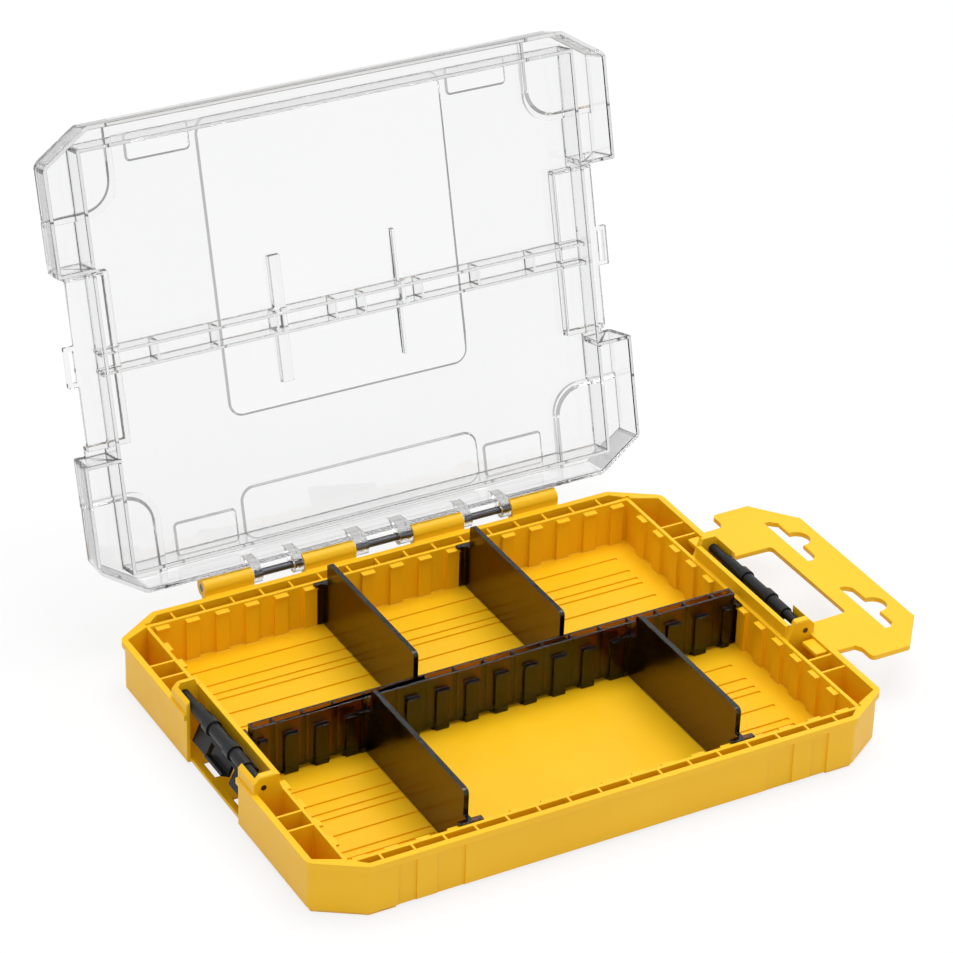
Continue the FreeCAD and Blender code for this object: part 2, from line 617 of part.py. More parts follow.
def tray_latch_recesses(tray):
    """Ears for the latch pin, the plate behind the latch and the gap in the outer wall."""
    inner = f"({BAY_X} + inner_wall)"
    outer = f"({HALF_X} - rim_overhang)"
    top = f"({PIVOT_Z} + ear_rise)"
    plate_out = f"({PIVOT_X} - latch_room)"
    ear = [
        (inner, FLOOR),
        (outer, FLOOR),
        (outer, f"({top} - ear_nose)"),
        (f"({outer} - ear_nose)", top),
        (f"({inner} + ear_slope)", top),
        (inner, INNER_TOP),
    ]
    across(tray, "Pad", "ears", "XZ_Plane", both_sides(ear), EAR_OUT)
    rounded(tray, "ear_tops", "ear_round", spans(top, top))
    room = rectangle(inner, f"-{EAR_IN}", CELL_X, EAR_IN)
    hollow(tray, "latch_room", both_sides(room), FLOOR, f"{top} + overrun")
    opening = "(grip_half + grip_play)"
    gap = rectangle(CELL_X, f"-{opening}", f"({HALF_X} + overrun)", opening)
    hollow(tray, "latch_opening", both_sides(gap), "0", f"{top} + overrun")
    plate = rectangle(f"({plate_out} - recess_plate)", f"-{EAR_IN}", plate_out, EAR_IN)
    block(tray, "recess_plates", both_sides(plate), FLOOR, "rim_height + recess_plate_rise")
    window_x, window_end = f"({plate_out} + window_inset)", "(window_start + window_length)"
    window = rectangle(window_x, "window_start", f"({window_x} + window_width)", window_end)
    hollow(tray, "recess_windows", four_quarters(window), "0", FLOOR)
    holes = [Disc(f"{sign} * {PIVOT_X}", PIVOT_Z, "latch_pin_radius + pin_play") for sign in (1, -1)]
    across(tray, "Pocket", "latch_pin_holes", "XZ_Plane", holes, f"{EAR_OUT} + overrun")


def tray_hinge(tray):
    """Knuckles on brackets that run down the back wall."""
    root = f"({HALF_Y} - rim_overhang - lug_depth)"
    bracket = [
        (root, f"({HINGE_Z} - knuckle_root)"),
        (f"({HINGE_Y} + knuckle_radius)", HINGE_Z),
        (f"({HINGE_Y} - knuckle_radius)", HINGE_Z),
        (f"({HALF_Y} + hinge_play)", "rim_height"),
        (root, "rim_height"),
    ]
    originals = []
    for name, (start, end) in (("inner", INNER_KNUCKLE), ("outer", OUTER_KNUCKLE)):
        barrel = Disc(HINGE_Y, HINGE_Z, "knuckle_radius")
        originals.append(bar_along_x(tray, f"{name}_bracket", [bracket], start, end))
        originals.append(bar_along_x(tray, f"{name}_barrel", [barrel], start, end))
    mirrored(tray, "left_knuckles", originals)
    hole = Disc(HINGE_Y, HINGE_Z, "pin_radius + pin_play")
    across(tray, "Pocket", "hinge_hole", "YZ_Plane", [hole], f"{OUTER_KNUCKLE[1]} + overrun")


def build_tray():
    """The whole tray."""
    tray = new_body("base_tray")
    tray_shell(tray)
    tray_lug_gaps(tray)
    tray_latch_recesses(tray)
    tray_hinge(tray)
    slot = rectangle(
        f"({CELL_X} - overrun)",
        "(tongue_start - tongue_fit)",
        f"({HALF_X} + overrun)",
        "(tongue_start + tongue_width + tongue_fit)",
    )
    hollow(tray, "tab_slots", both_ends(slot), f"{TAB_BOTTOM} - tongue_fit", f"{TAB_TOP} + tongue_fit")
    tray_grooves(tray)
    tray_cell_ribs(tray)
    tray_slots(tray)
    return tray


# Lid: one clear moulding, drawn closed and then thrown back about the hinge


def lid_shell(lid):
    """Tapered shell with a rounded top edge, and the rib that stands over the inner wall."""
    shell = block(lid, "shell", [octagon("0")], LID_RIM, LID_TOP)
    tapered(shell, "-lid_lean", f"{LID_TOP} - {LID_RIM}")
    rounded(lid, "corners", "corner_round", spans(LID_RIM, LID_TOP))
    rounded(lid, "top_edge", "lid_round", spans(LID_TOP, LID_TOP))
    cavity = hollow(lid, "cavity", [octagon("lid_wall + lid_lean")], LID_RIM, LID_INNER)
    tapered(cavity, "lid_lean", f"{LID_INNER} - {LID_RIM}")
    rib_x, rib_y = f"({BAY_X} - lid_rib_shift)", f"({BAY_Y} - lid_rib_shift)"
    rib = [centred(f"{rib_x} + lid_rib", f"{rib_y} + lid_rib"), centred(rib_x, rib_y)]
    block(lid, "inner_rib", rib, "rim_height + lid_rib_gap", LID_INNER)


def lid_latch_sides(lid):
    """Sunk shelf behind each latch, the room for the ears and the tab that the latch hooks."""
    recess = f"({EAR_OUT} + ear_clear)"
    edge = f"({PIVOT_X} - shelf_edge)"
    shelf_start = f"({edge} - shelf_run)"
    shelf_bottom = f"({SHELF_TOP} - shelf_thickness)"
    rib_x = f"({BAY_X} - lid_rib_shift)"
    end_wall = rectangle(rib_x, recess, f"({HALF_X} - lid_lean)", f"({recess} + lid_rib)")
    block(lid, "recess_ends", four_quarters(end_wall), LID_RIM, LID_INNER)
    shelf_y = "(shelf_half + lid_rib)"
    shelf = rectangle(f"({shelf_start} - lid_rib)", f"-{shelf_y}", edge, shelf_y)
    block(lid, "shelf", both_sides(shelf), shelf_bottom, LID_INNER)
    sink = rectangle(shelf_start, "-shelf_half", f"({HALF_X} + overrun)", "shelf_half")
    hollow(lid, "shelf_sink", both_sides(sink), SHELF_TOP, f"{LID_TOP} + overrun")
    gap = rectangle(edge, f"-{recess}", f"({HALF_X} + overrun)", recess)
    hollow(lid, "latch_gap", both_sides(gap), f"{LID_RIM} - overrun", f"{LID_TOP} + overrun")
    tab = rectangle(edge, "-hook_tab_half", f"({PIVOT_X} + hook_tab_reach)", "hook_tab_half")
    block(lid, "hook_tabs", both_sides(tab), shelf_bottom, SHELF_TOP)
    slot_y, slot_x = "(hook_tab_half - hook_slot_margin)", f"({edge} + hook_slot_set_in)"
    slot = rectangle(slot_x, f"-{slot_y}", f"({slot_x} + hook_slot_width)", slot_y)
    hollow(lid, "hook_slots", both_sides(slot), shelf_bottom, SHELF_TOP)


def lid_ribs(lid):
    """Double rib that straddles the long divider, with its cross ribs, and the two fins."""
    inner = "(long_divider_thickness / 2 + ladder_play)"
    outer = f"({inner} + ladder_rib)"
    end = f"({BAY_X} - lid_rib_shift + lid_rib / 2)"
    divider_top = f"({FLOOR} + long_divider_height)"
    ribs = both_ends(rectangle(f"-{end}", inner, end, outer))
    block(lid, "double_rib", ribs, f"{divider_top} + ladder_clear", LID_INNER)
    start = f"({PITCH} / 2 - ladder_rung / 2)"
    middle = f"({inner} + ladder_rib / 2)"
    rung = both_sides(rectangle(start, f"-{middle}", f"({start} + ladder_rung)", middle))
    rungs = [block(lid, "rung", rung[:1], f"{divider_top} + rung_clear", LID_INNER)]
    rungs += [block(lid, "left_rung", rung[1:], f"{divider_top} + rung_clear", LID_INNER)]
    row(lid, "rungs", rungs[:1], "X_Axis", f"2 * {PITCH} * (rung_pairs - 1)", "rung_pairs")
    row(lid, "left_rungs", rungs[1:], "X_Axis", f"2 * {PITCH} * (rung_pairs - 1)", "rung_pairs")
    lid.Tip.Reversed = True
    fin_in, fin_out = "(fin_place - fin_thickness / 2)", "(fin_place + fin_thickness / 2)"
    fin = rectangle(fin_in, "-fin_half", fin_out, "fin_half")
    block(lid, "fins", both_sides(fin), f"{FLOOR} + divider_height + fin_clear", LID_INNER)


def lid_panels(lid):
    """Sunk panels and corner pockets that take the feet of a case stacked on top."""
    front = f"-{PANEL_FRONT}"
    panel = rectangle("-panel_half_width", front, "panel_half_width", PANEL_BACK, "panel_round")
    rear_front = f"({HALF_Y} - rear_panel_front_margin)"
    rear_back = f"({HALF_Y} - rear_panel_back_margin)"
    rear = rectangle("-panel_half_width", rear_front, "panel_half_width", rear_back, "panel_round")
    small_in = "(panel_half_width + small_panel_gap)"
    small_out = f"({small_in} + small_panel_width)"
    small_end = f"({front} + small_panel_length)"
    small = rectangle(small_in, front, small_out, small_end, "small_panel_round")
    small_back = f"({HALF_Y} - small_panel_rear_margin)"
    small_rear_front = f"({small_back} - small_panel_rear_length)"
    small_rear = rectangle(small_in, small_rear_front, small_out, small_back, "small_panel_round")
    panels = [panel, rear] + both_sides(small) + both_sides(small_rear)
    hollow(lid, "panels", panels, f"{LID_TOP} - panel_depth", LID_TOP)
    pocket_x = f"({WALL_END} - corner_pocket_length)"
    pocket_y = f"({SIDE_END} - corner_pocket_depth)"
    back_end, side_end = cut_corner("lid_lean + lid_wall / 2")
    backing_x, backing_y = f"({pocket_x} - lid_wall)", f"({pocket_y} - lid_wall)"
    backing = [
        (backing_x, backing_y, "corner_pocket_round"),
        (side_end[0], backing_y),
        side_end,
        back_end,
        (backing_x, back_end[1]),
    ]
    block(lid, "pocket_floors", four_quarters(backing), f"{LID_INNER} - corner_pocket_sink", LID_INNER)
    past_x, past_y = f"({HALF_X} + overrun)", f"({HALF_Y} + overrun)"
    pocket = [(pocket_x, pocket_y, "corner_pocket_round"), (past_x, pocket_y), (past_x, past_y), (pocket_x, past_y)]
    hollow(lid, "corner_pockets", four_quarters(pocket), f"{LID_TOP} - corner_pocket_sink", f"{LID_TOP} + overrun")


def lid_hinge(lid):
    """Pairs of lugs on arms, which leave the pin bare between them."""
    root = f"({HALF_Y} - lid_wall)"
    arm = [
        (root, f"({HINGE_Z} - lug_heel)"),
        (HINGE_Y, f"({HINGE_Z} - lug_radius)"),
        (HINGE_Y, f"({HINGE_Z} + lug_radius)"),
        (root, f"({HINGE_Z} + lug_root)"),
    ]
    gap_middle = f"({INNER_KNUCKLE[1]} + knuckle_gap / 2)"
    lug_spans = (
        ("(pin_window / 2)", "(knuckle_first - hinge_play)"),
        (f"({INNER_KNUCKLE[1]} + hinge_play)", f"({gap_middle} - pin_window / 2)"),
        (f"({gap_middle} + pin_window / 2)", f"({OUTER_KNUCKLE[0]} - hinge_play)"),
    )
    originals = []
    for number, (start, end) in enumerate(lug_spans, start=1):
        ring = Disc(HINGE_Y, HINGE_Z, "lug_radius")
        originals.append(bar_along_x(lid, f"arm_{number}", [arm], start, end))
        originals.append(bar_along_x(lid, f"lug_{number}", [ring], start, end))
    mirrored(lid, "left_lugs", originals)
    hole = Disc(HINGE_Y, HINGE_Z, "pin_radius + pin_play")
    across(lid, "Pocket", "hinge_hole", "YZ_Plane", [hole], f"{OUTER_KNUCKLE[1]} + overrun")


def build_lid():
    """The whole lid, thrown back."""
    lid = new_body("lid")
    lid_shell(lid)
    lid_latch_sides(lid)
    lid_ribs(lid)
    lid_panels(lid)
    lid_hinge(lid)
    axis = FreeCAD.Vector(0, size(HINGE_Y), size(HINGE_Z))
    turn = FreeCAD.Rotation(FreeCAD.Vector(1, 0, 0), -size("open_angle"))
    lid.Placement = FreeCAD.Placement(FreeCAD.Vector(), turn, axis)
    return lid


# Pins


def build_hinge_pin():
    """Steel rod through all knuckles and lugs."""
    pin = new_body("hinge_pin")
    across(pin, "Pad", "rod", "YZ_Plane", [Disc(HINGE_Y, HINGE_Z, "pin_radius")], OUTER_KNUCKLE[1])
    return pin


def build_latch_pin(label, side):
    """Steel pin between the two ears of one side."""
    pin = new_body(label)
    rod = Disc(f"{side} * {PIVOT_X}", PIVOT_Z, "latch_pin_radius")
    across(pin, "Pad", "rod", "XZ_Plane", [rod], EAR_OUT)
    return pin


# Latches: drawn closed about the pivot, then swung down


def build_latch(label, half_turn):
    """Latch with a hook tongue between two grips."""
    latch = new_body(label)
    plate_in = "(hook_tab_reach + tongue_play)"
    plate_out = f"({plate_in} + latch_plate)"
    grip_out = f"({plate_out} + grip_bulge)"
    nib_bottom = f"({SHELF_TOP} - {PIVOT_Z} + nib_play)"
    nib_top = f"({nib_bottom} + nib_height)"
    nib_in = f"({plate_in} - nib_reach)"
    grip = [
        ("0", "-latch_heel"),
        (plate_out, "0"),
        (plate_out, "grip_step"),
        (grip_out, "(grip_step + grip_step_rise)"),
        (grip_out, "grip_height"),
        (plate_in, "grip_height"),
        (plate_in, "latch_heel"),
        ("0", "latch_heel"),
    ]
    gap = rectangle("0", "grip_step", f"({grip_out} + overrun)", "(grip_height + overrun)")
    tongue = [
        (plate_in, "latch_heel"),
        (plate_out, "latch_heel"),
        (plate_out, nib_top),
        (nib_in, nib_top),
        (nib_in, nib_bottom),
        (plate_in, nib_bottom),
    ]
    across(latch, "Pad", "bar", "XZ_Plane", [Disc("0", "0", "bar_radius")], "grip_half")
    across(latch, "Pad", "journals", "XZ_Plane", [Disc("0", "0", "journal_radius")], "journal_half")
    across(latch, "Pad", "grips", "XZ_Plane", [grip], "grip_half")
    across(latch, "Pocket", "grip_gap", "XZ_Plane", [gap], "tongue_slot_half")
    across(latch, "Pad", "tongue", "XZ_Plane", [tongue], "tongue_half")
    hole = Disc("0", "0", "latch_pin_radius + pin_play")
    across(latch, "Pocket", "pin_hole", "XZ_Plane", [hole], "journal_half + overrun")
    swing = FreeCAD.Rotation(FreeCAD.Vector(0, 1, 0), size("latch_open_angle"))
    right = FreeCAD.Placement(FreeCAD.Vector(size(PIVOT_X), 0, size(PIVOT_Z)), swing)
    side = FreeCAD.Placement(FreeCAD.Vector(), FreeCAD.Rotation(FreeCAD.Vector(0, 0, 1), half_turn))
    latch.Placement = side * right
    return latch


# Dividers


def build_long_divider():
    """Hollow divider along the middle, open at the top between its cross ribs."""
    divider = new_body("long_divider")
    half = "(long_divider_thickness / 2)"
    end = f"({BAY_X} - seat_gap)"
    neck = f"({end} - long_divider_neck)"
    top = f"({FLOOR} + long_divider_height)"
    profile = [
        (f"-{end}", FLOOR),
        (end, FLOOR),
        (end, HEAD_TOP),
        (neck, HEAD_TOP),
        (neck, top),
        (f"-{neck}", top),
        (f"-{neck}", HEAD_TOP),
        (f"-{end}", HEAD_TOP),
    ]
    across(divider, "Pad", "wall", "XZ_Plane", [profile], half)
    inside = f"({half} - long_divider_wall)"
    first = f"(-{PITCH} * (pads_across - 3) / 2)"
    cell_half = f"(({PITCH} - long_divider_wall) / 2)"
    cell = rectangle(f"({first} - {cell_half})", f"-{inside}", f"({first} + {cell_half})", inside)
    bottom = f"({FLOOR} + long_divider_floor)"
    cells = hollow(divider, "cell", [cell], bottom, top)
    row(divider, "cells", [cells], "X_Axis", f"{PITCH} * (pads_across - 3)", "pads_across - 2")
    last = f"({PITCH} * (pads_across - 2) / 2 + long_divider_wall / 2)"
    end_cell = rectangle(last, f"-{inside}", f"({neck} - long_divider_wall)", inside)
    hollow(divider, "end_cells", both_sides(end_cell), bottom, top)
    notch_middle = f"(-{PITCH} * (pads_across - 2) / 2)"
    notch = rectangle(
        f"({notch_middle} - notch_width / 2)",
        f"({FLOOR} - overrun)",
        f"({notch_middle} + notch_width / 2)",
        f"({FLOOR} + notch_height)",
    )
    notches = across(divider, "Pocket", "notch", "XZ_Plane", [notch], f"{half} + overrun")
    row(divider, "notches", [notches], "X_Axis", f"{PITCH} * (pads_across - 2)", "pads_across - 1")
    pad_start = f"({first} - pad_width / 2)"
    end_pad_start = f"({BAY_X} - pad_margin_across - pad_width / 2)"
    originals = []
    for part, reach, low in (
        ("pad", "long_pad_proud", FLOOR),
        ("lip", "(long_pad_proud + ledge_reach)", f"({PAD_TOP} - ledge_height)"),
    ):
        face = f"({half} + {reach})"
        end_pad = rectangle(end_pad_start, inside, f"({end_pad_start} + end_pad_width)", face)
        block(divider, f"end_{part}s", four_quarters(end_pad), low, PAD_TOP)
        pad = rectangle(pad_start, inside, f"({pad_start} + pad_width)", face)
        originals.append(block(divider, part, both_ends(pad), low, PAD_TOP))
    row(divider, "pads", originals, "X_Axis", f"{PITCH} * (pads_across - 3)", "pads_across - 2")
    head_half = f"({SLOT_DEEP} / 2 + head_overlap)"
    head = rectangle(f"({end} - head_depth)", f"-{head_half}", end, head_half)
    block(divider, "heads", both_sides(head), PAD_TOP, HEAD_TOP)
    return divider


def build_cross_divider(label, place, half_turn):
    """Thin divider with a flange at each end and a head that rests on the pads."""
    divider = new_body(label)
    near_end = "(long_divider_thickness / 2 + seat_gap)"
    far_end = f"({BAY_Y} - seat_gap)"
    near_neck, far_neck = f"({near_end} + divider_neck)", f"({far_end} - divider_neck)"
    top = f"({FLOOR} + divider_height)"
    profile = [
        (near_end, FLOOR),
        (far_end, FLOOR),
        (far_end, HEAD_TOP),
        (far_neck, HEAD_TOP),
        (far_neck, top, "divider_round"),
        (near_neck, top, "divider_round"),
        (near_neck, HEAD_TOP),
        (near_end, HEAD_TOP),
    ]
    across(divider, "Pad", "plate", "YZ_Plane", [profile], "divider_thickness / 2")
    flange_half = f"({SLOT} / 2 - slot_play)"
    head_half = f"({SLOT} / 2 + head_overlap)"
    for name, half, depth, low, high in (
        ("flanges", flange_half, "flange_thickness", FLOOR, PAD_TOP),
        ("heads", head_half, "head_depth", PAD_TOP, HEAD_TOP),
    ):
        near_piece = rectangle(f"-{half}", near_end, half, f"({near_end} + {depth})")
        far_piece = rectangle(f"-{half}", f"({far_end} - {depth})", half, far_end)
        block(divider, name, [near_piece, far_piece], low, high)
    turn = FreeCAD.Rotation(FreeCAD.Vector(0, 0, 1), half_turn)
    divider.Placement = FreeCAD.Placement(FreeCAD.Vector(size(place), 0, 0), turn)
    return divider


# Hang tab


def build_hang_tab():
    """Plate with two hang slots, plugged into the right wall by two tongues."""
    tab = new_body("hang_tab")
    start = f"({HALF_X} + tab_gap)"
    shoulder_x = f"({HALF_X} + tab_arm_length + tab_step)"
    shoulder_y = "(tab_arm_half + tab_step_out)"
    side = f"({shoulder_y} + tab_shoulder)"
    right_half = [
        (start, "tab_window_half"),
        (start, "tab_arm_half"),
        (f"({HALF_X} + tab_arm_length)", "tab_arm_half"),
        (shoulder_x, shoulder_y),
        (shoulder_x, side),
        (f"({HALF_X} + tab_flank)", side),
        (f"({HALF_X} + tab_reach)", "tab_nose_half"),
    ]
    window_end = f"({HALF_X} + tab_window_depth)"
    window = [(window_end, "-tab_window_half"), (window_end, "tab_window_half")]
    block(tab, "plate", [right_half + turned(right_half, 1, -1)[::-1] + window], TAB_BOTTOM, TAB_TOP)
    rounded(tab, "corners", "tab_round", tab_corner)
    slot_in = f"({HALF_X} + slot_inset)"
    slot_out = f"({slot_in} + slot_width)"
    half = "(slot_length / 2)"
    brim = [
        (slot_in, f"(slot_place - {half})"),
        (f"({slot_out} - slot_end_cut)", f"(slot_place - {half})"),
        (slot_out, f"(slot_place - {half} + slot_end_cut)"),
        (slot_out, f"(slot_place + {half} - slot_end_cut)"),
        (f"({slot_out} - slot_end_cut)", f"(slot_place + {half})"),
        (slot_in, f"(slot_place + {half})"),
    ]
    hollow(tab, "slot_brims", both_ends(brim), TAB_BOTTOM, TAB_TOP)
    hump_x = f"({slot_in} + slot_hump_shift)"
    humps = [Disc(hump_x, f"{sign} * slot_place", "slot_hump_radius") for sign in (1, -1)]
    hollow(tab, "slot_humps", humps, TAB_BOTTOM, TAB_TOP)
    tongue_in, tongue_end = f"({HALF_X} - tongue_length)", "(tongue_start + tongue_width)"
    tongue = rectangle(tongue_in, "tongue_start", start, tongue_end)
    block(tab, "tongues", both_ends(tongue), TAB_BOTTOM, TAB_TOP)
    catch_out = f"({CELL_X} - tongue_fit)"
    catch = rectangle(f"({catch_out} - catch_length)", "tongue_start", catch_out, tongue_end)
    block(tab, "catches", both_ends(catch), f"{TAB_BOTTOM} - catch_height", TAB_BOTTOM)
    return tab


def tab_corner(box):
    """Upright edges of the tab that are not at the wall."""
    upright = near(box.ZLength, size("tab_thickness"))
    return upright and box.XMin > size(f"{HALF_X} + tab_arm_length + tab_step") - size("pin_play")


# Assembly

FRONT_PLACE = f"front_divider_slots * {PITCH}"
REAR_PLACE = f"rear_divider_slots * {PITCH}"

pieces = [
    build_tray(),
    build_lid(),
    build_hinge_pin(),
    build_latch("right_latch", 0),
    build_latch("left_latch", 180),
    build_latch_pin("right_latch_pin", 1),
    build_latch_pin("left_latch_pin", -1),
    build_hang_tab(),
    build_long_divider(),
    build_cross_divider("rear_left_divider", f"-{REAR_PLACE}", 0),
    build_cross_divider("rear_right_divider", REAR_PLACE, 0),
    build_cross_divider("front_left_divider", f"-{FRONT_PLACE}", 180),
    build_cross_divider("front_right_divider", FRONT_PLACE, 180),
]
doc.recompute()

for item in doc.Objects:
    if "Invalid" in item.State or "Error" in item.State:
        raise RuntimeError(f"{item.Label} did not build: {item.State}")
for piece in pieces:
    if piece.Shape.isNull() or not piece.Shape.isValid() or len(piece.Shape.Solids) != 1:
        raise RuntimeError(f"{piece.Label} is not one valid solid")

os.makedirs("parts", exist_ok=True)
for piece in pieces:
    piece.Shape.exportStep(f"parts/{piece.Label}.step")
    box = piece.Shape.BoundBox
    print(f"{piece.Label}: {piece.Shape.Volume / 1000:.2f} cm3, "
          f"{box.XLength:.1f} x {box.YLength:.1f} x {box.ZLength:.1f} mm")
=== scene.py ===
"""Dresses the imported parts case: moulded tray, hang tab, pins, latches, dividers and clear lid."""
import bmesh
import bpy
import math
from mathutils import Matrix, Vector


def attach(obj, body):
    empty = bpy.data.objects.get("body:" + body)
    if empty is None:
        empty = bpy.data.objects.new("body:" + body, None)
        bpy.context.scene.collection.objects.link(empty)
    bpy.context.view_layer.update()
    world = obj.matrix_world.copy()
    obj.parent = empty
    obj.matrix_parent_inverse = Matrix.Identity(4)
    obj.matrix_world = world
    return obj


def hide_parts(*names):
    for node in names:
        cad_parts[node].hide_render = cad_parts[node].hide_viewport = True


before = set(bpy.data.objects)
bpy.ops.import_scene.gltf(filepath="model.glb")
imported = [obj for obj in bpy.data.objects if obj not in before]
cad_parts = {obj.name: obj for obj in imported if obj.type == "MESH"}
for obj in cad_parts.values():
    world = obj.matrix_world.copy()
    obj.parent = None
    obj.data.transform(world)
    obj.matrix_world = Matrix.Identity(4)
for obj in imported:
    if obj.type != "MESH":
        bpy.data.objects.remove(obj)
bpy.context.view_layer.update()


# Tray
# One injection moulding in yellow polypropylene with a satin skin, as are the ears and hinge
# knuckles on it. The mould leaves its edges slightly round, so they are rounded on the mesh.

MM = 0.001
WELD = 0.002 * MM           # corners nearer than this are one
FLAT = math.radians(0.4)    # faces that meet at less are one
SHARP = math.radians(32)    # edges that turn more are rounded
CREASE = math.radians(47)   # edges that turn more are shaded as creases
ROOM = 2.6                  # width of a face, in radii, that leaves room for rounding
BROAD = 4 * MM              # faces at least this wide are shaded flat
TRAY_EDGE = 0.26 * MM


def face_width(face):
    """How wide a face is, on the whole."""
    around = sum(edge.calc_length() for edge in face.edges)
    return 2 * face.calc_area() / around


def round_edges(mesh, radius, steps, reshape=None):
    """Round the sharp edges that have room for it on both of their faces, after any reshaping."""
    shape = bmesh.new()
    shape.from_mesh(mesh)
    bmesh.ops.remove_doubles(shape, verts=shape.verts, dist=WELD)
    bmesh.ops.dissolve_limit(shape, angle_limit=FLAT, verts=shape.verts, edges=shape.edges)
    if reshape:
        reshape(shape)
    sharp = []
    for edge in shape.edges:
        if len(edge.link_faces) != 2 or edge.calc_face_angle() < SHARP:
            continue
        if min(face_width(face) for face in edge.link_faces) > ROOM * radius:
            sharp.append(edge)
    bmesh.ops.bevel(
        shape, geom=sharp, offset=radius, offset_type="OFFSET", segments=steps, profile=0.5,
        affect="EDGES", clamp_overlap=False, miter_outer="SHARP", miter_inner="SHARP",
    )
    for face in shape.faces:
        face.smooth = True
    for edge in shape.edges:
        narrow = max((face_width(face) for face in edge.link_faces), default=0) < BROAD
        edge.smooth = narrow and len(edge.link_faces) == 2 and edge.calc_face_angle() < CREASE
    shape.to_mesh(mesh)
    shape.free()


def moulded(node, body, material, radius, steps=2, reshape=None):
    """A copy of a solid's mesh with rounded edges, which stands for that solid."""
    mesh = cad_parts[node].data.copy()
    mesh.name = f"{node}_skin"
    mesh.materials.clear()
    round_edges(mesh, radius, steps, reshape)
    mesh.materials.append(material)
    piece = bpy.data.objects.new(f"{node}_skin", mesh)
    bpy.context.scene.collection.objects.link(piece)
    normals = piece.modifiers.new("flat_faces", "WEIGHTED_NORMAL")
    normals.keep_sharp = True
    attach(piece, body)
    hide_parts(node)
    return piece


def place(tree, kind, **inputs):
    """A shader node with some of its inputs set."""
    node = tree.nodes.new(kind)
    for socket, value in inputs.items():
        node.inputs[socket.replace("_", " ")].default_value = value
    return node


def new_group(name, inputs, outputs):
    """An empty shader group with its named sockets, and its two end nodes."""
    group = bpy.data.node_groups.new(name, "ShaderNodeTree")
    add_socket = group.interface.new_socket
    for socket, value in inputs.items():
        entry = add_socket(name=socket, in_out="INPUT", socket_type="NodeSocketFloat")
        entry.default_value = value
    for socket in outputs:
        add_socket(name=socket, in_out="OUTPUT", socket_type="NodeSocketFloat")
    return group, group.nodes.new("NodeGroupInput"), group.nodes.new("NodeGroupOutput")


def new_material(name):
    """A material with its node tree and its shader."""
    material = bpy.data.materials.new(name)
    material.use_nodes = True
    return material, material.node_tree, material.node_tree.nodes["Principled BSDF"]


def make_moulded_skin():
    """Slow drift of tone, gloss that varies a little, and the fine grain of the mould."""
    group, start, end = new_group(
        "moulded_skin",
        {"Grain Scale": 2200.0, "Gloss Low": 0.32, "Gloss High": 0.46},
        ("Tone", "Roughness", "Height"),
    )
    spot = place(group, "ShaderNodeTexCoord")
    drift = place(group, "ShaderNodeTexNoise", Scale=22.0, Detail=3.0, Roughness=0.55)
    cloud = place(group, "ShaderNodeTexNoise", Scale=140.0, Detail=4.0, Roughness=0.6)
    grain = place(group, "ShaderNodeTexNoise", Detail=2.0, Roughness=0.5)
    gloss = place(group, "ShaderNodeMapRange", From_Min=0.3, From_Max=0.7)
    link = group.links.new
    for noise in (drift, cloud, grain):
        link(spot.outputs["Object"], noise.inputs["Vector"])
    link(start.outputs["Grain Scale"], grain.inputs["Scale"])
    link(cloud.outputs["Fac"], gloss.inputs["Value"])
    link(start.outputs["Gloss Low"], gloss.inputs["To Min"])
    link(start.outputs["Gloss High"], gloss.inputs["To Max"])
    link(drift.outputs["Fac"], end.inputs["Tone"])
    link(gloss.outputs["Result"], end.inputs["Roughness"])
    link(grain.outputs["Fac"], end.inputs["Height"])
    return group


moulded_skin = make_moulded_skin()

# sockets of a node that mixes colours
MIX_SHARE, MIX_FIRST, MIX_SECOND, MIX_RESULT = 0, 6, 7, 2


def colour_mix(tree, first, second):
    """A node that mixes two colours, by a share that is linked to it."""
    mix = place(tree, "ShaderNodeMix")
    mix.data_type = "RGBA"
    mix.inputs[MIX_FIRST].default_value = first
    mix.inputs[MIX_SECOND].default_value = second
    return mix


def skinned_material(name, deep, pale, gloss_low, gloss_high, grain, grain_height):
    """A plastic whose colour, gloss and grain come from the moulded skin."""
    material, tree, shader = new_material(name)
    skin = tree.nodes.new("ShaderNodeGroup")
    skin.node_tree = moulded_skin
    skin.inputs["Grain Scale"].default_value = grain
    skin.inputs["Gloss Low"].default_value = gloss_low
    skin.inputs["Gloss High"].default_value = gloss_high
    colour = colour_mix(tree, deep, pale)
    bump = place(tree, "ShaderNodeBump", Strength=0.5, Distance=grain_height)
    link = tree.links.new
    link(skin.outputs["Tone"], colour.inputs[MIX_SHARE])
    link(colour.outputs[MIX_RESULT], shader.inputs["Base Color"])
    link(skin.outputs["Roughness"], shader.inputs["Roughness"])
    link(skin.outputs["Height"], bump.inputs["Height"])
    link(bump.outputs["Normal"], shader.inputs["Normal"])
    return material, tree, shader


yellow, _, yellow_shader = skinned_material(
    "yellow_plastic",
    deep=(0.86, 0.465, 0.003, 1),
    pale=(0.93, 0.54, 0.006, 1),
    gloss_low=0.34,
    gloss_high=0.48,
    grain=2600.0,
    grain_height=0.02 * MM,
)
yellow_shader.inputs["Specular IOR Level"].default_value = 0.35
moulded("base_tray", "tray", yellow, TRAY_EDGE)


# Hang tab
# A flat plate of the same yellow plastic with two hook slots. Its two tongues push through the
# right wall and snap behind it, so it is carried by the tray.

TAB_EDGE = 0.5 * MM
moulded("hang_tab", "tray", yellow, TAB_EDGE, steps=3)


# Pins
# The hinge pin and the two latch pins are cut from drawn steel wire with a dark oil finish.
# They are pushed through the knuckles and ears, and stay there by friction.

PIN_EDGE = 0.2 * MM
WIRE_DARK = (0.05, 0.05, 0.055, 1)
WIRE_LIGHT = (0.13, 0.13, 0.14, 1)
WIRE_STRETCH = (60.0, 900.0, 900.0)   # the marks of drawing run along X

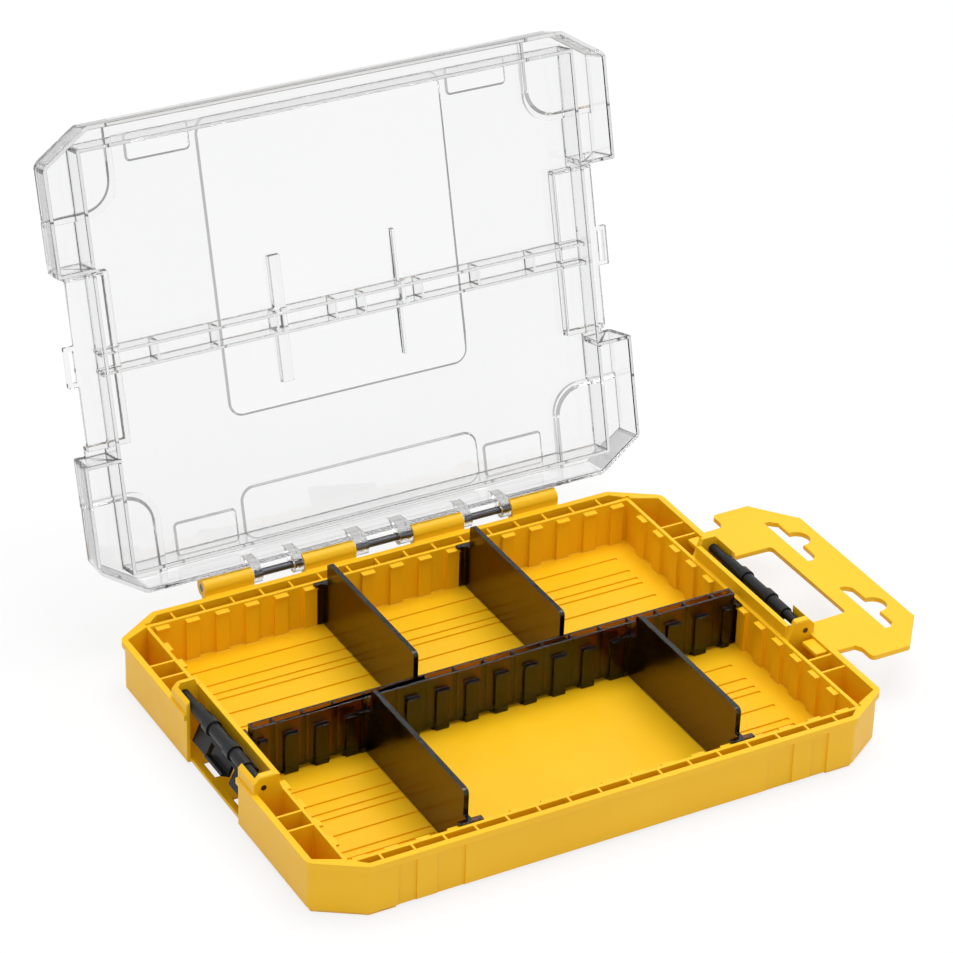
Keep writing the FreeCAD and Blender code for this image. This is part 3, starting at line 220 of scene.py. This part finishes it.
steel, steel_tree, steel_shader = new_material("drawn_steel")
steel_shader.inputs["Metallic"].default_value = 1.0
wire_spot = place(steel_tree, "ShaderNodeTexCoord")
wire_stretch = place(steel_tree, "ShaderNodeMapping", Scale=WIRE_STRETCH)
wire_marks = place(steel_tree, "ShaderNodeTexNoise", Scale=3.0, Detail=4.0)
wire_colour = colour_mix(steel_tree, WIRE_DARK, WIRE_LIGHT)
wire_gloss = place(steel_tree, "ShaderNodeMapRange", To_Min=0.22, To_Max=0.42)
steel_tree.links.new(wire_spot.outputs["Object"], wire_stretch.inputs["Vector"])
steel_tree.links.new(wire_stretch.outputs["Vector"], wire_marks.inputs["Vector"])
steel_tree.links.new(wire_marks.outputs["Fac"], wire_colour.inputs[MIX_SHARE])
steel_tree.links.new(wire_marks.outputs["Fac"], wire_gloss.inputs["Value"])
steel_tree.links.new(wire_colour.outputs[MIX_RESULT], steel_shader.inputs["Base Color"])
steel_tree.links.new(wire_gloss.outputs["Result"], steel_shader.inputs["Roughness"])
for pin in ("hinge_pin", "left_latch_pin", "right_latch_pin"):
    moulded(pin, "tray", steel, PIN_EDGE)


# Latches
# Two equal black nylon mouldings that turn on their pins: a bar with two thicker rings, two finger
# grips and a hook tongue between them that catches the tab of the lid.

LATCH_EDGE = 0.25 * MM
LATCH_AXIS_X = 113 * MM
LATCH_AXIS_Z = 24 * MM
RING_RADIUS = 3.2 * MM
RING_LENGTH = 4.4 * MM
RING_PLACE = 8.7 * MM
RING_EDGE = 0.9 * MM
RING_FACES = 40

black, _, black_shader = skinned_material(
    "black_nylon",
    deep=(0.003, 0.003, 0.0035, 1),
    pale=(0.008, 0.008, 0.009, 1),
    gloss_low=0.34,
    gloss_high=0.48,
    grain=1800.0,
    grain_height=0.03 * MM,
)
black_shader.inputs["Specular IOR Level"].default_value = 0.28


def latch_ring(latch, name, x, y):
    """A thicker length of a latch's bar, round the pin's axis."""
    mesh = bpy.data.meshes.new(name)
    shape = bmesh.new()
    along_pin = Matrix.Rotation(math.radians(90), 4, "X")
    bmesh.ops.create_cone(
        shape,
        cap_ends=True,
        segments=RING_FACES,
        radius1=RING_RADIUS,
        radius2=RING_RADIUS,
        depth=RING_LENGTH,
        matrix=Matrix.Translation((x, y, LATCH_AXIS_Z)) @ along_pin,
    )
    shape.to_mesh(mesh)
    shape.free()
    round_edges(mesh, RING_EDGE, steps=3)
    mesh.materials.append(black)
    ring = bpy.data.objects.new(name, mesh)
    bpy.context.scene.collection.objects.link(ring)
    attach(ring, latch)


for latch, side in (("left_latch", -1), ("right_latch", 1)):
    moulded(latch, latch, black, LATCH_EDGE)
    latch_ring(latch, f"{latch}_rear_ring", side * LATCH_AXIS_X, RING_PLACE)
    latch_ring(latch, f"{latch}_front_ring", side * LATCH_AXIS_X, -RING_PLACE)


# Dividers
# Five smoke brown translucent mouldings. The long one is hollow and rests on the side pads, and
# the cross dividers slide into the slots between the pads of the walls and of the long one.

DIVIDER_EDGE = 0.2 * MM
STYRENE_IOR = 1.5

smoke, smoke_tree, smoke_shader = skinned_material(
    "smoke_styrene",
    deep=(0.80, 0.65, 0.50, 1),
    pale=(0.86, 0.71, 0.56, 1),
    gloss_low=0.14,
    gloss_high=0.26,
    grain=1500.0,
    grain_height=0.01 * MM,
)
smoke_shader.inputs["Transmission Weight"].default_value = 1.0
smoke_shader.inputs["IOR"].default_value = STYRENE_IOR


def fill(tree, colour, density):
    """Let the body of a clear plastic take up light on its way through."""
    body = place(tree, "ShaderNodeVolumeAbsorption", Color=colour, Density=density)
    tree.links.new(body.outputs["Volume"], tree.nodes["Material Output"].inputs["Volume"])


fill(smoke_tree, colour=(0.45, 0.19, 0.0, 1), density=1900.0)
DIVIDERS = (
    "long_divider",
    "rear_left_divider",
    "rear_right_divider",
    "front_left_divider",
    "front_right_divider",
)
for divider in DIVIDERS:
    moulded(divider, divider, smoke, DIVIDER_EDGE)


# Lid
# One clear styrene moulding with polished faces. Its lugs snap round the steel pin between the
# tray's knuckles, and its ribs come down on the inner wall and over the long divider.

LID_OPEN = math.radians(104.8)
LID_EDGE = 0.45 * MM
# painted shade on the lid's slanted faces: a dark grey, and how much of those faces it covers,
# standing in for the darker surroundings that the rounded edges and panel slopes refract
PAINTED_EDGE_SHADE = (0.06, 0.06, 0.062, 1)
PAINTED_SHADE_COVER = 0.65
# largest part of a face's direction: straight faces are above the first, slanted below the second
STRAIGHT_FACE = 0.88
SLANT_FACE = 0.74

clear, clear_tree, clear_shader = skinned_material(
    "clear_styrene",
    deep=(0.925, 0.93, 0.93, 1),
    pale=(0.945, 0.945, 0.945, 1),
    gloss_low=0.0,
    gloss_high=0.03,
    grain=300.0,
    grain_height=0.002 * MM,
)
clear_shader.inputs["Transmission Weight"].default_value = 1.0
clear_shader.inputs["IOR"].default_value = STYRENE_IOR


def slanted(tree):
    """One where a face of the lid runs aslant, as its rounded edges and panel slopes do."""
    facing = place(tree, "ShaderNodeTexCoord")
    shut = place(tree, "ShaderNodeVectorRotate", Angle=LID_OPEN)
    shut.rotation_type = "X_AXIS"
    sizes = place(tree, "ShaderNodeVectorMath")
    sizes.operation = "ABSOLUTE"
    parts = place(tree, "ShaderNodeSeparateXYZ")
    pair = place(tree, "ShaderNodeMath")
    pair.operation = "MAXIMUM"
    largest = place(tree, "ShaderNodeMath")
    largest.operation = "MAXIMUM"
    slope = place(tree, "ShaderNodeMapRange", From_Min=STRAIGHT_FACE, From_Max=SLANT_FACE)
    tree.links.new(facing.outputs["Normal"], shut.inputs["Vector"])
    tree.links.new(shut.outputs["Vector"], sizes.inputs[0])
    tree.links.new(sizes.outputs["Vector"], parts.inputs["Vector"])
    tree.links.new(parts.outputs["X"], pair.inputs[0])
    tree.links.new(parts.outputs["Y"], pair.inputs[1])
    tree.links.new(pair.outputs["Value"], largest.inputs[0])
    tree.links.new(parts.outputs["Z"], largest.inputs[1])
    tree.links.new(largest.outputs["Value"], slope.inputs["Value"])
    return slope.outputs["Result"]


# The slanted faces take a painted shade: a dark grey, partly see-through, which draws the grey lines
# along the lid's edges and slopes.
clear_face = clear_shader.inputs["Base Color"].links[0].from_socket
clear_edge_shade = colour_mix(clear_tree, PAINTED_EDGE_SHADE, PAINTED_EDGE_SHADE)
clear_shade_cover = place(clear_tree, "ShaderNodeMapRange", To_Min=1.0, To_Max=PAINTED_SHADE_COVER)
clear_slant = slanted(clear_tree)
clear_tree.links.new(clear_slant, clear_edge_shade.inputs[MIX_SHARE])
clear_tree.links.new(clear_slant, clear_shade_cover.inputs["Value"])
clear_tree.links.new(clear_shade_cover.outputs["Result"], clear_shader.inputs["Alpha"])
clear_tree.links.new(clear_face, clear_edge_shade.inputs[MIX_FIRST])
clear_tree.links.new(clear_edge_shade.outputs[MIX_RESULT], clear_shader.inputs["Base Color"])
fill(clear_tree, colour=(0.5, 0.5, 0.5, 1), density=30.0)

HINGE = Vector((0, 94 * MM, 24 * MM))
SHUT = Matrix.Rotation(LID_OPEN, 4, "X")
NEAR = 0.06 * MM      # heights that differ by less are the same
ONE_WAY = 0.9999      # faces whose directions agree this far are one wall
LEAST_SHARE = 0.5     # keeps the corner of two walls from running far out
# heights in the shut lid, and for each floor of a sunk field how far its walls lean
LID_TOP = 37.0 * MM
LID_INSIDE = 35.1 * MM
FIELD_FLOORS = {36.0 * MM: 0.9 * MM, 35.5 * MM: 1.3 * MM}
# where the fins of the solid are, then the new middle and the stretch of each one's width
FIN_PLACE = 25.5 * MM
FIN_HALF = 1.1 * MM
FIN_START = 4.3 * MM
FIN_END = 25.2 * MM
LEFT_FIN = (-27.0 * MM, 2.4)
RIGHT_FIN = (23.6 * MM, 0.65)


def shut_spot(vert):
    """Where a corner of the open lid's mesh lies once the lid is shut."""
    return SHUT @ (vert.co - HINGE) + HINGE


def lean_walls(shape, floor, run):
    """Lean the upright walls between the lid's top and the floors of its sunk fields."""
    moves = []
    for vert in shape.verts:
        if abs(shut_spot(vert).z - floor) > NEAR:
            continue
        normals = []
        for face in vert.link_faces:
            heights = [shut_spot(corner).z for corner in face.verts]
            upright = abs(max(heights) - LID_TOP) < NEAR and abs(min(heights) - floor) < NEAR
            if upright and all(face.normal.dot(other) < ONE_WAY for other in normals):
                normals.append(face.normal.copy())
        if len(normals) == 1:
            moves.append((vert, normals[0] * run))
        elif len(normals) == 2:
            share = max(1 + normals[0].dot(normals[1]), LEAST_SHARE)
            moves.append((vert, (normals[0] + normals[1]) * (run / share)))
    for vert, move in moves:
        vert.co += move


def shape_lid(shape):
    """The lid's leaning field walls, its broad left fin and its thin right one."""
    shape.normal_update()
    for floor, run in FIELD_FLOORS.items():
        lean_walls(shape, floor, run)
    for vert in shape.verts:
        spot = shut_spot(vert)
        if not FIN_START < abs(spot.y) < FIN_END or spot.z > LID_INSIDE:
            continue
        if abs(abs(spot.x) - FIN_PLACE) < FIN_HALF:
            middle, stretch = LEFT_FIN if spot.x < 0 else RIGHT_FIN
            vert.co.x = middle + (spot.x - math.copysign(FIN_PLACE, spot.x)) * stretch
    shape.normal_update()


moulded("lid", "lid", clear, LID_EDGE, steps=3, reshape=shape_lid)


# Studio
# A plain pale floor, a soft tent of light, one broad lamp above and a weak one in front, as for a
# catalogue picture. The floor and the surroundings look white, and the floor keeps a weak shadow.

FLOOR_HALF = 6.0
FLOOR_GAP = 0.05 * MM
PAPER_WHITE = (0.85, 0.85, 0.85, 1)
PAPER_GLOW = 0.8      # share of plain white where the floor is seen directly
TENT_LIGHT = 0.55     # level of the tent as a light, and as it is seen directly
TENT_SEEN = 1.0


def seen_directly(tree):
    """One for rays from the camera and for what gloss and clear plastic show of the studio."""
    path = place(tree, "ShaderNodeLightPath")
    either = place(tree, "ShaderNodeMath")
    either.operation = "MAXIMUM"
    any_of = place(tree, "ShaderNodeMath")
    any_of.operation = "MAXIMUM"
    tree.links.new(path.outputs["Is Camera Ray"], either.inputs[0])
    tree.links.new(path.outputs["Is Glossy Ray"], either.inputs[1])
    tree.links.new(either.outputs["Value"], any_of.inputs[0])
    tree.links.new(path.outputs["Is Transmission Ray"], any_of.inputs[1])
    return any_of.outputs["Value"]


floor_mesh = bpy.data.meshes.new("studio_floor")
corners = [
    (x * FLOOR_HALF, y * FLOOR_HALF, -FLOOR_GAP)
    for x, y in ((-1, -1), (1, -1), (1, 1), (-1, 1))
]
floor_mesh.from_pydata(corners, [], [(0, 1, 2, 3)])
floor = bpy.data.objects.new("studio_floor", floor_mesh)
bpy.context.scene.collection.objects.link(floor)
paper, paper_tree, paper_shader = new_material("white_paper")
paper_shader.inputs["Base Color"].default_value = PAPER_WHITE
paper_shader.inputs["Roughness"].default_value = 0.9
glow = place(paper_tree, "ShaderNodeEmission", Color=(1, 1, 1, 1), Strength=1.0)
glow_share = place(paper_tree, "ShaderNodeMath")
glow_share.operation = "MULTIPLY"
glow_share.inputs[1].default_value = PAPER_GLOW
paper_mix = place(paper_tree, "ShaderNodeMixShader")
paper_end = paper_tree.nodes["Material Output"]
paper_tree.links.new(seen_directly(paper_tree), glow_share.inputs[0])
paper_tree.links.new(glow_share.outputs["Value"], paper_mix.inputs["Fac"])
paper_tree.links.new(paper_shader.outputs["BSDF"], paper_mix.inputs[1])
paper_tree.links.new(glow.outputs["Emission"], paper_mix.inputs[2])
paper_tree.links.new(paper_mix.outputs["Shader"], paper_end.inputs["Surface"])
floor_mesh.materials.append(paper)

world = bpy.data.worlds.new("light_tent")
bpy.context.scene.world = world
world.use_nodes = True
tent = world.node_tree.nodes["Background"]
tent.inputs["Color"].default_value = (1, 1, 1, 1)
level = place(world.node_tree, "ShaderNodeMapRange", To_Min=TENT_LIGHT, To_Max=TENT_SEEN)
world.node_tree.links.new(seen_directly(world.node_tree), level.inputs["Value"])
world.node_tree.links.new(level.outputs["Result"], tent.inputs["Strength"])


def soft_lamp(name, spot, target, width, power):
    """A square lamp that faces a point."""
    light = bpy.data.lights.new(name, "AREA")
    light.size = width
    light.energy = power
    lamp = bpy.data.objects.new(name, light)
    lamp.location = spot
    lamp.rotation_euler = (Vector(target) - Vector(spot)).to_track_quat("-Z", "Y").to_euler()
    bpy.context.scene.collection.objects.link(lamp)


soft_lamp("top_softbox", spot=(0.25, 0.1, 1.5), target=(0, 0, 0), width=1.2, power=20.0)
soft_lamp("front_softbox", spot=(-0.9, -1.3, 0.9), target=(0, 0, 0.05), width=1.0, power=2.0)

camera = bpy.data.cameras.new("photo_camera")
camera.sensor_width = 36.0
camera.lens = 138.7
viewer = bpy.data.objects.new("photo_camera", camera)
bpy.context.scene.collection.objects.link(viewer)
right = Vector((0.876684, -0.480467, 0.024014))
up = Vector((0.226173, 0.455714, 0.860913))
back = Vector((-0.424584, -0.749317, 0.508186))
turn = Matrix((right, up, back)).transposed().to_4x4()
stand = Matrix.Translation((-0.56866, -0.98324, 0.77262))
viewer.matrix_world = stand @ turn
bpy.context.scene.camera = viewer
bpy.context.scene.view_settings.view_transform = "Standard"
